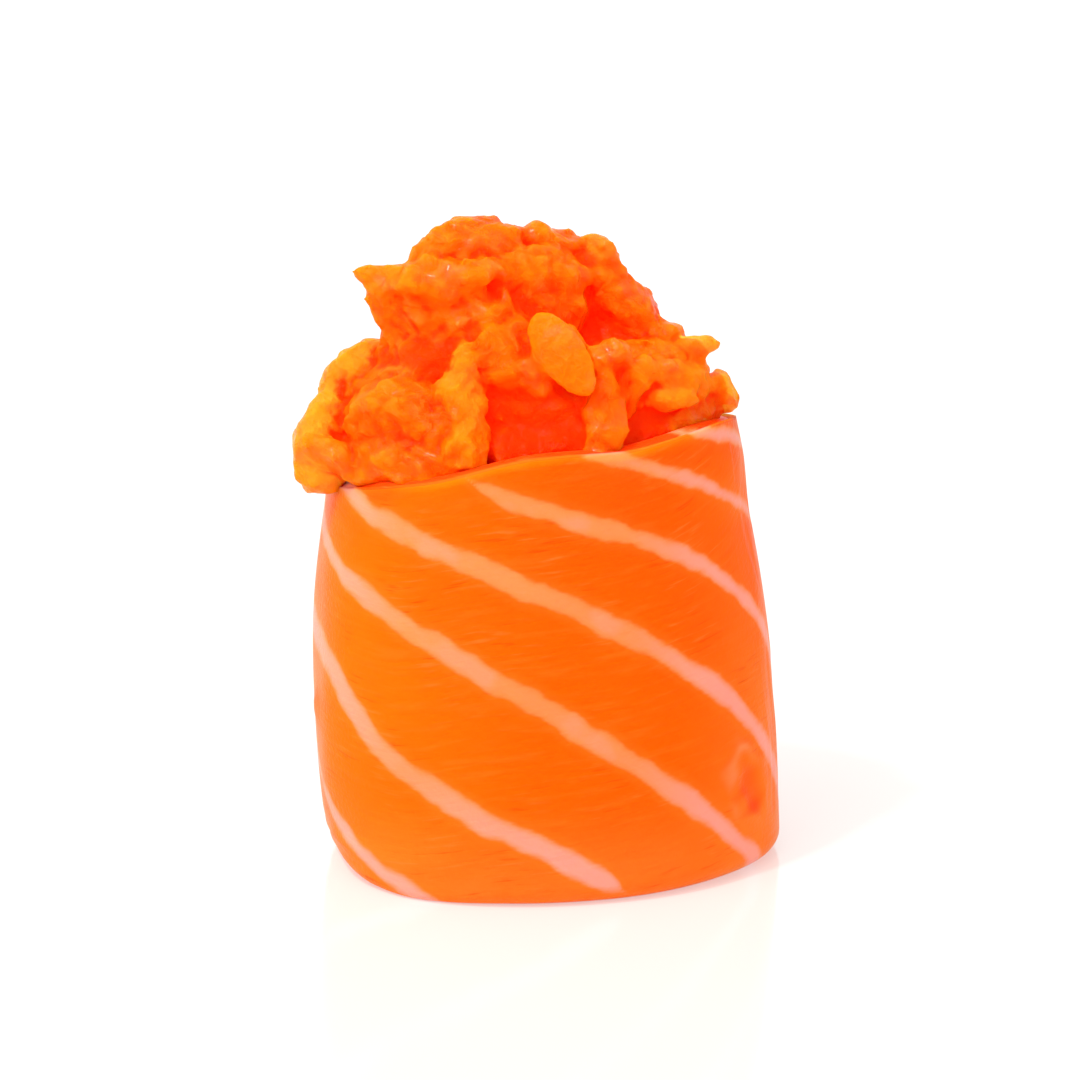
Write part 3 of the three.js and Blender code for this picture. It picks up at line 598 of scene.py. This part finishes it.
numbers, bits = fixed_numbers(211), []
for _ in range(bit_tries):
    host = int(next(numbers) * len(table))
    where = on_morsel(big, host, direction(numbers))
    lie = direction(numbers)
    radius = bit_smallest + bit_range * next(numbers) ** 2
    length = bit_longest * next(numbers)
    flat = bit_flattest + (1 - bit_flattest) * next(numbers)
    out = unit(where - big["middle"][host])
    lie = unit(lie - out * lie.dot(out)) * length / 2
    where = where - bit_sunk * radius * out
    inside = depth_in(big, where[None])[:, 0] ** 2 < bit_buried
    inside[host] = False
    if table[host, 6:8].min() >= host_least and table[host, 8] > host_flattest and not inside.any():
        bits.append(np.concatenate([where - lie, where + lie, [radius, bit_taper * radius, flat]]))
bits = np.array(bits)

# Finer bits of the same kind, many and small, only where they show.
fine_tries, fine_smallest, fine_range, fine_taper, fine_sunk, fine_buried = 1800, 0.34, 0.4, 0.85, 0.35, 0.97
fine_shortest, fine_longest, fine_flattest, fine_host_least = 0.1, 0.7, 0.6, 0.7
rng = np.random.default_rng(41)
host = rng.integers(0, len(table), fine_tries)
up = rng.uniform(-1, 1, fine_tries)
turn = rng.uniform(0, 2 * np.pi, fine_tries)
level = np.sqrt(1 - up ** 2)
where = on_morsel(big, host, np.stack([level * np.cos(turn), up, level * np.sin(turn)], axis=-1))
out = unit(where - big["middle"][host])
lie = rng.normal(size=(fine_tries, 3))
lie = unit(lie - out * np.sum(lie * out, axis=1, keepdims=True))
lie = lie * rng.uniform(fine_shortest, fine_longest, (fine_tries, 1))
radius = fine_smallest + fine_range * rng.random(fine_tries) ** 2
where = where - out * (fine_sunk * radius)[:, None]
buried = (depth_in(big, where) < fine_buried).sum(axis=0) > 1
kept = ~buried & (table[host, 6:8].min(axis=1) > fine_host_least) & (table[host, 8] > host_flattest)
fine = np.concatenate([where - lie, where + lie, radius[:, None], fine_taper * radius[:, None],
                       rng.uniform(fine_flattest, 1.0, (fine_tries, 1))], axis=1)[kept]

# All of them as closed eggs, swollen a little, the small ones more. Each set: its table, and how many points
# round and down one egg.
swell_out, small_below = 0.05, 2
sets = [(table, 32, 24), (bits, 16, 12), (fine, 8, 6)]


def eggs(rows_of, across, down):
    """All morsels of a table as one set of points and faces, made uneven; very flat ones are shifted as a whole."""
    f = frames_of(rows_of)
    ball = ball_grid(across, down)
    count = len(rows_of)
    n = np.repeat(np.arange(count), len(ball))
    f["mean"] = f["mean"] + swell_out * (1 + smooth(small_below - f["mean"]))
    points = on_morsel(f, n, np.tile(ball, (count, 1)))
    points = points + uneven(np.where(f["flat"][n][:, None] > host_flattest, points, f["middle"][n]))
    first = (np.arange(count) * len(ball))[:, None, None]
    faces = [(part[None, :, ::-1] + first).reshape(-1, part.shape[1])
             for part in closed_faces(down + 1, across)]
    return points, faces


points, faces, start = [], [[], [], []], 0
for some_points, some_faces in (eggs(*one_set) for one_set in sets):
    points.append(some_points)
    for kind, part in zip(faces, some_faces):
        kind.append(part + start)
    start += len(some_points)
rough = mesh_object("rough_heap", np.concatenate(points), [np.concatenate(kind) for kind in faces])

# The morsels run into each other: one skin over all of them, then softened, as wet mince settles.
skin_step = 0.24
grow = rough.modifiers.new("one skin", "REMESH")
grow.mode = "VOXEL"
grow.voxel_size = skin_step * MM
grown_mesh = bpy.data.meshes.new_from_object(rough.evaluated_get(bpy.context.evaluated_depsgraph_get()))
bpy.data.objects.remove(rough)


def read(items, name, kind, each, to_a_row):
    """Numbers read from all items of a mesh: so many from each item, and so many to a row."""
    values = np.empty(len(items) * each, dtype=kind)
    items.foreach_get(name, values)
    return values.reshape(-1, to_a_row)


points = read(grown_mesh.vertices, "co", np.float32, 3, 3).astype(float) / MM
quads = read(grown_mesh.loops, "vertex_index", np.int32, 1, 4)
edges = read(grown_mesh.edges, "vertices", np.int32, 2, 2)
bpy.data.meshes.remove(grown_mesh)
count = len(points)
ways = np.maximum(np.bincount(edges.ravel(), minlength=count), 1)[:, None]


def settled(values, times_over, share=0.6):
    """Values evened out over the skin: each point moves by a share towards the mean of its neighbours,
    many times over."""
    for _ in range(times_over):
        total = np.stack([
            np.bincount(edges[:, 0], values[edges[:, 1], k], count)
            + np.bincount(edges[:, 1], values[edges[:, 0], k], count) for k in range(values.shape[1])], axis=1)
        values = values + share * (total / ways - values)
    return values


def normals_of(p):
    """Normal at each point: the crossed diagonals of its faces, summed."""
    face = np.cross(p[quads[:, 2]] - p[quads[:, 0]], p[quads[:, 3]] - p[quads[:, 1]])
    total = np.stack([np.bincount(quads.ravel(), np.repeat(face[:, k], 4), count) for k in range(3)], axis=1)
    return unit(total + 1e-12)


def hollowness(p, times_over):
    """How far the evened-out skin lies outside each point, along its normal."""
    return np.sum((settled(p, times_over) - p) * normals_of(p), axis=1)


def hashed(cells, salt):
    """Random number from 0 to 1 for each whole-number cell, by multiplying with large primes and mixing bits."""
    c = cells.astype(np.int64)
    h = (c[..., 0] * 73856093) ^ (c[..., 1] * 19349663) ^ (c[..., 2] * 83492791) ^ (salt * 2654435761)
    h = (h ^ (h >> 13)) * 1274126177 & 0xFFFFFFFF
    return ((h ^ (h >> 16)) & 0xFFFFFF) / 0xFFFFFF


def lumps(p, size, salt):
    """Long lumps: 1 at scattered points, one a cell of that size, falling to 0 midway, each stretched its own way.
    Also the lump's own number, and the points pressed together along the lump, for fibres that run along it."""
    stretch, press = 0.6, 0.75
    q = p / size
    cell = np.floor(q)
    best = np.full(len(p), np.inf)
    number = np.zeros(len(p))
    drawn = p.copy()
    for way in product((-1, 0, 1), repeat=3):
        around = cell + way
        point = around + np.stack([hashed(around, salt + k) for k in (1, 2, 3)], axis=-1)
        lie = unit(np.stack([hashed(around, salt + k) for k in (4, 5, 6)], axis=-1) - 0.5)
        run = np.sum((q - point) * lie, axis=1)
        gap = np.sum((q - point) ** 2, axis=1) - stretch * run ** 2
        closer = gap < best
        best = np.where(closer, gap, best)
        number = np.where(closer, hashed(around, salt + 9), number)
        drawn = np.where(closer[:, None], p - press * size * run[:, None] * lie, drawn)
    return smooth(1 - np.sqrt(best)), number, drawn


# Softened first, with the sharp creases between morsels filled.
soft_times, soft_share, crease_fills, crease_times, crease_share = 2, 0.5, 2, 12, 0.8
points = settled(points, soft_times)
for _ in range(crease_fills):
    filled = crease_share * np.maximum(hollowness(points, crease_times), 0)
    points = settled(points + normals_of(points) * filled[:, None], soft_times, soft_share)

# Relief of the chopped flesh: coarse lumps, small ones on them that turn into torn pits on part of them, and a
# fine grain. It is calmer in wide hollows, on the loose flake and on the smooth flesh in the front hollow.
narrow_times, wide_times, calm_times = 14, 160, 8
calm_parts, calm_share, calm_from, calm_over = ("flake", "hollow_bed", "hollow_foot"), 0.7, 0.25, 0.5
coarse_size, small_size, fine_size, lump_level = 2.3, 1.25, 0.75, 0.6
coarse_high, small_high, fine_high = 0.30, 0.32, 0.14
small_squeeze, fine_squeeze, fine_apart, warp = (1.0, 0.8, 1.3), (1.4, 0.9, 0.8), 0.3, 0.5
torn_turn, torn_from, torn_over = 1.7, 0.55, 0.05
calm_numbers = [list(morsels).index(name) for name in calm_parts]
on_calm_part = np.isin(np.argmin(depth_in(big, points), axis=0), calm_numbers)[:, None].astype(float)
in_hollow = smooth((hollowness(points, wide_times) - calm_from) / calm_over)
calm = 1 - calm_share * np.maximum(in_hollow, settled(on_calm_part, calm_times)[:, 0])
x, y, z = points.T
warped = points + warp * np.stack([waves(y, z, [(1, 2.1, 1.3, 0.3)]), waves(z, x, [(1, 1.9, 1.6, 1.3)]),
                                   waves(x, y, [(1, 1.7, 2.3, 2.3)])], axis=-1)
coarse_lump, coarse_number, coarse_drawn = lumps(warped, coarse_size, 11)
small_lump, small_number, _ = lumps(warped * small_squeeze, small_size, 57)
fine_lump, _, _ = lumps(warped * fine_squeeze + fine_apart * small_number[:, None], fine_size, 91)
torn = 1 - torn_turn * smooth((coarse_number - torn_from) / torn_over)
relief = coarse_high * (coarse_lump - lump_level) + small_high * torn * (small_lump - lump_level)
relief = relief + fine_high * (fine_lump - lump_level)
points = settled(points + normals_of(points) * (relief * calm)[:, None], soft_times, soft_share)

# How hollow each place is, narrow creases and wide hollows apart, which also sets the painted shade in the hollows;
# flesh down inside the lip counts as hollow too, so it is given that shade as well.
# The tone of a place, with the painted light and shade it carries, is that of the morsels that reach it, the
# nearest by far the most.
lip_inside, lip_fade, lip_hollow, lip_over, lip_over_fade = 0.86, 0.06, 0.45, 4.0, 3.5
tone_nearness, tint_coarse, tint_small = 20, 0.6, 0.4
narrow = hollowness(points, narrow_times)
wide = hollowness(points, wide_times)
reach = depth_in(big, points - uneven(points))
flat_x, flat_y = points[:, 0] - body_x - top_shift, points[:, 1]
turned_x = (flat_x * math.cos(plan_turn) + flat_y * math.sin(plan_turn)) / (half_length * top_scale)
turned_y = (flat_y * math.cos(plan_turn) - flat_x * math.sin(plan_turn)) / (half_width * top_scale)
from_middle = (np.abs(turned_x) ** plan_power + np.abs(turned_y) ** plan_power) ** (1 / plan_power)
over_rim = points[:, 2] - rim_height - rim_rise_x * flat_x - rim_rise_y * flat_y
in_lip = smooth((lip_inside - from_middle) / lip_fade)
wide = wide + lip_hollow * in_lip * smooth((lip_over - over_rim) / lip_over_fade)
weight = np.exp(-tone_nearness * (reach - reach.min(axis=0)))
tone_and_shade = (weight * table[:, 9:10]).sum(axis=0) / weight.sum(axis=0)
tint = tint_coarse * coarse_number + tint_small * small_number

# Held inside the CAD box: what comes within the margin of a side is pressed back softly.
box_gap, box_margin = 0.02, 0.5


def held_off(room):
    """Room left before a limit, kept above 0: unchanged beyond the margin, dying away exponentially inside it."""
    return np.where(room > box_margin, room, box_margin * np.exp(np.minimum(room - box_margin, 0) / box_margin))


low_corner, high_corner = np.array(frame_box) / MM
points = low_corner + box_gap + held_off(points - low_corner - box_gap)
points = high_corner - box_gap - held_off(high_corner - box_gap - points)
heap = mesh_object("minced_heap", points, [quads])
for name, values in (("crease", narrow), ("hollow", wide), ("tone_and_shade", tone_and_shade), ("tint", tint)):
    layer = heap.data.attributes.new(name, "FLOAT", "POINT")
    layer.data.foreach_set("value", values.astype(np.float32))
layer = heap.data.attributes.new("fibre_place", "FLOAT_VECTOR", "POINT")
layer.data.foreach_set("vector", coarse_drawn.astype(np.float32).ravel())

# Finish of the mince: orange flesh; painted shade makes it deep red-orange down in the hollows and beds, and
# painted light makes it paler on the lumps and yellow on thin tips.
# A thin wet film lies in patches on what stands out and catches the lamps.
mince = bpy.data.materials.new("minced_salmon")
mince.use_nodes = True
tree = mince.node_tree
place = node(tree, "TexCoord").outputs["Object"]
fibre_place = node(tree, "Attribute", attribute_name="fibre_place").outputs["Vector"]
flesh = node(tree, "Group", node_tree=grain)
flesh = feed(tree, flesh, Vector=place, Blotch_Scale=420.0, Grain_Scale=900.0).outputs
strands = noise(tree, fibre_place, 0.9, 2.0)
tone_and_shade, tint, hollow = own(tree, "tone_and_shade"), own(tree, "tint"), own(tree, "hollow")
depth_sum = arithmetic(tree, "MULTIPLY_ADD", own(tree, "crease"), 2.8, hollow)
colour = layered(tree, (1.0, 0.075, 0.0002, 1), [
    ("orange flesh", tone_and_shade, (1.0, 0.15, 0.001)),
    # Painted light: yellow on thin tips and lit parts, from tones above 1.
    ("yellow tips with painted light", arithmetic(tree, "SUBTRACT", tone_and_shade, 1.0), (1.0, 0.52, 0.035)),
    ("shade of each lump", times(tree, tint, 0.25), (1.0, 0.18, 0.002)),
    ("soft blotches", times(tree, flesh["Blotch"], 0.4), (1.0, 0.07, 0.0002)),
    # Painted light: paler where the flesh stands out.
    ("painted light where it stands out", times(tree, ranged(tree, depth_sum, 0.0, -0.9), 0.45), (1.0, 0.24, 0.003)),
    ("pale fibres", ranged(tree, strands, 0.52, 0.72, 0.0, 0.3), (1.0, 0.26, 0.02)),
    # Painted shade: red in the beds and hollows, from tones below 0.
    ("red beds with painted shade", times(tree, tone_and_shade, -1.0), (1.0, 0.034, 0.0002)),
    # Painted shade: deep red down in creases and hollows.
    ("painted shade in the hollows", ranged(tree, depth_sum, -0.05, 0.6), (1.0, 0.035, 0.0003))])
bump = feed(tree, node(tree, "Bump"), Strength=ranged(tree, hollow, 0.3, 0.9, 0.6, 0.15), Distance=0.0010,
            Height=arithmetic(tree, "MULTIPLY_ADD", strands, 0.5, flesh["Height"]))
wet_patches = ranged(tree, noise(tree, place, 420.0, 2.0), 0.50, 0.60, 0.0, 0.35)
wet_film = times(tree, wet_patches, ranged(tree, depth_sum, 0.1, -0.3))
feed(tree, tree.nodes["Principled BSDF"], Base_Color=colour, Normal=bump.outputs[0], Roughness=0.12, IOR=1.36,
     Specular_IOR_Level=0.05, Coat_Weight=wet_film, Coat_Roughness=0.17, Coat_IOR=1.36,
     Subsurface_Weight=0.8, Subsurface_Radius=(1.0, 0.07, 0.02), Subsurface_Scale=0.005)
heap.data.materials.append(mince)
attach(heap, "root")
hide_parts("minced_topping")

# Setting: white glossy table top and white surroundings, in metres. The table glows a little, so that shadows
# stay faint.
table_reach = 3
table_top = bpy.data.meshes.new("table_top")
table_top.from_pydata([(-table_reach, -table_reach, 0), (table_reach, -table_reach, 0),
                       (table_reach, table_reach, 0), (-table_reach, table_reach, 0)], [], [(0, 1, 2, 3)])
floor = bpy.data.objects.new("table_top", table_top)
bpy.context.scene.collection.objects.link(floor)
white = bpy.data.materials.new("white_table")
white.use_nodes = True
feed(white.node_tree, white.node_tree.nodes["Principled BSDF"], Base_Color=(0.463, 0.413, 0.38, 1),
     Roughness=0.12, IOR=1.7, Emission_Color=(1, 1, 1, 1), Emission_Strength=0.43)
table_top.materials.append(white)
sky = bpy.data.worlds.new("white_room")
bpy.context.scene.world = sky
sky.use_nodes = True
feed(sky.node_tree, sky.node_tree.nodes["Background"], Color=(1, 1, 1, 1), Strength=1.0)


def lamp(name, size, watts, stands, aim):
    """A square lamp of a size that stands at a place and looks at a point."""
    light = bpy.data.lights.new(name, "AREA")
    light.size, light.energy = size, watts
    thing = bpy.data.objects.new(name, light)
    bpy.context.scene.collection.objects.link(thing)
    thing.location = stands
    thing.rotation_euler = (Vector(aim) - Vector(stands)).to_track_quat("-Z", "Y").to_euler()


# One soft lamp above left at the front, and a small one there for the wet glints.
lamp("soft_lamp", 0.40, 1.4, (-0.24, -0.24, 0.42), (0, 0, 0.03))
lamp("glint_lamp", 0.03, 1.0, (-0.16, -0.16, 0.42), (0, 0, 0.045))

# Camera at the front, looking down a little through a long lens.
look_down = 15.75
view = bpy.data.cameras.new("view")
view.lens, view.sensor_width = 150, 36
camera = bpy.data.objects.new("view", view)
bpy.context.scene.collection.objects.link(camera)
camera.location = (0.00032, -0.35150, 0.12566)
camera.rotation_euler = (math.radians(90 - look_down), 0, 0)
bpy.context.scene.camera = camera
bpy.context.scene.view_settings.view_transform = "Standard"
